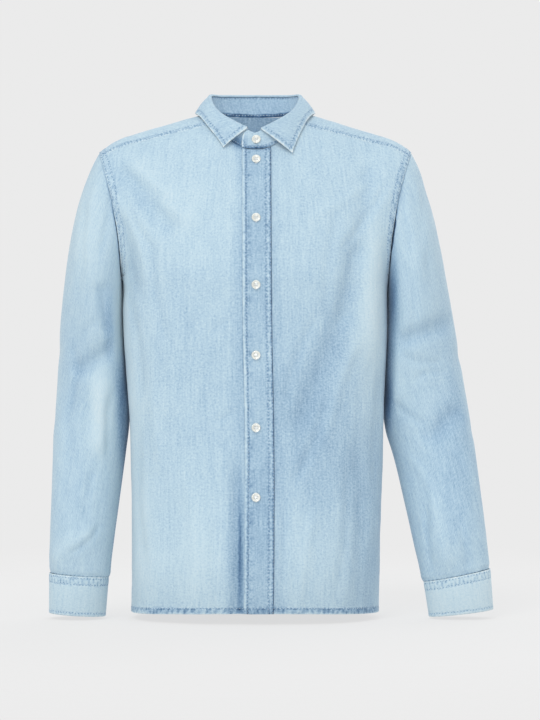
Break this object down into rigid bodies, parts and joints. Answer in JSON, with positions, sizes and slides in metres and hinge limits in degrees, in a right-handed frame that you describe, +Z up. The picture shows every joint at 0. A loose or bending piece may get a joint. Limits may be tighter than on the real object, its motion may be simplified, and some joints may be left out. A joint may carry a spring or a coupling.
{
  "type": "denim shirt",
  "caption": "Long-sleeved button-up shirt in washed denim with a fold-over collar, back yoke and buttoned cuffs, hollow and filled out as if worn.",
  "frame": {"origin": "between the shoulders at the base of the neck, level with the shoulder line where it meets the collar, where the wearer's shoulders and neck hold the shirt", "axes": "+Z up along the body from hem to collar, -Y out of the buttoned front, +X towards the wearer's left sleeve"},
  "size_m": [0.6561, 0.2527, 0.7762],
  "materials": {
    "denim": "light blue washed denim, fine twill, matt",
    "denim_trim": "the same denim in double thickness, puckered and mottled along its stitching",
    "button": "pearly white, satin gloss"
  },
  "bodies": {
    "root": {"front_left": "denim", "front_right": "denim", "back": "denim", "yoke": "denim", "sleeve_left_head": "denim", "sleeve_left_upper": "denim", "sleeve_left_lower": "denim", "sleeve_right_head": "denim", "sleeve_right_upper": "denim", "sleeve_right_lower": "denim", "placket": "denim_trim", "collar_stand": "denim_trim", "collar": "denim_trim", "cuff_left": "denim_trim", "cuff_right": "denim_trim", "sleeve_placket_left": "denim_trim", "sleeve_placket_right": "denim_trim", "button_1": "button", "button_2": "button", "button_3": "button", "button_4": "button", "button_5": "button", "button_6": "button", "button_7": "button", "cuff_button_left": "button", "cuff_button_right": "button"}
  },
  "joints": []
}
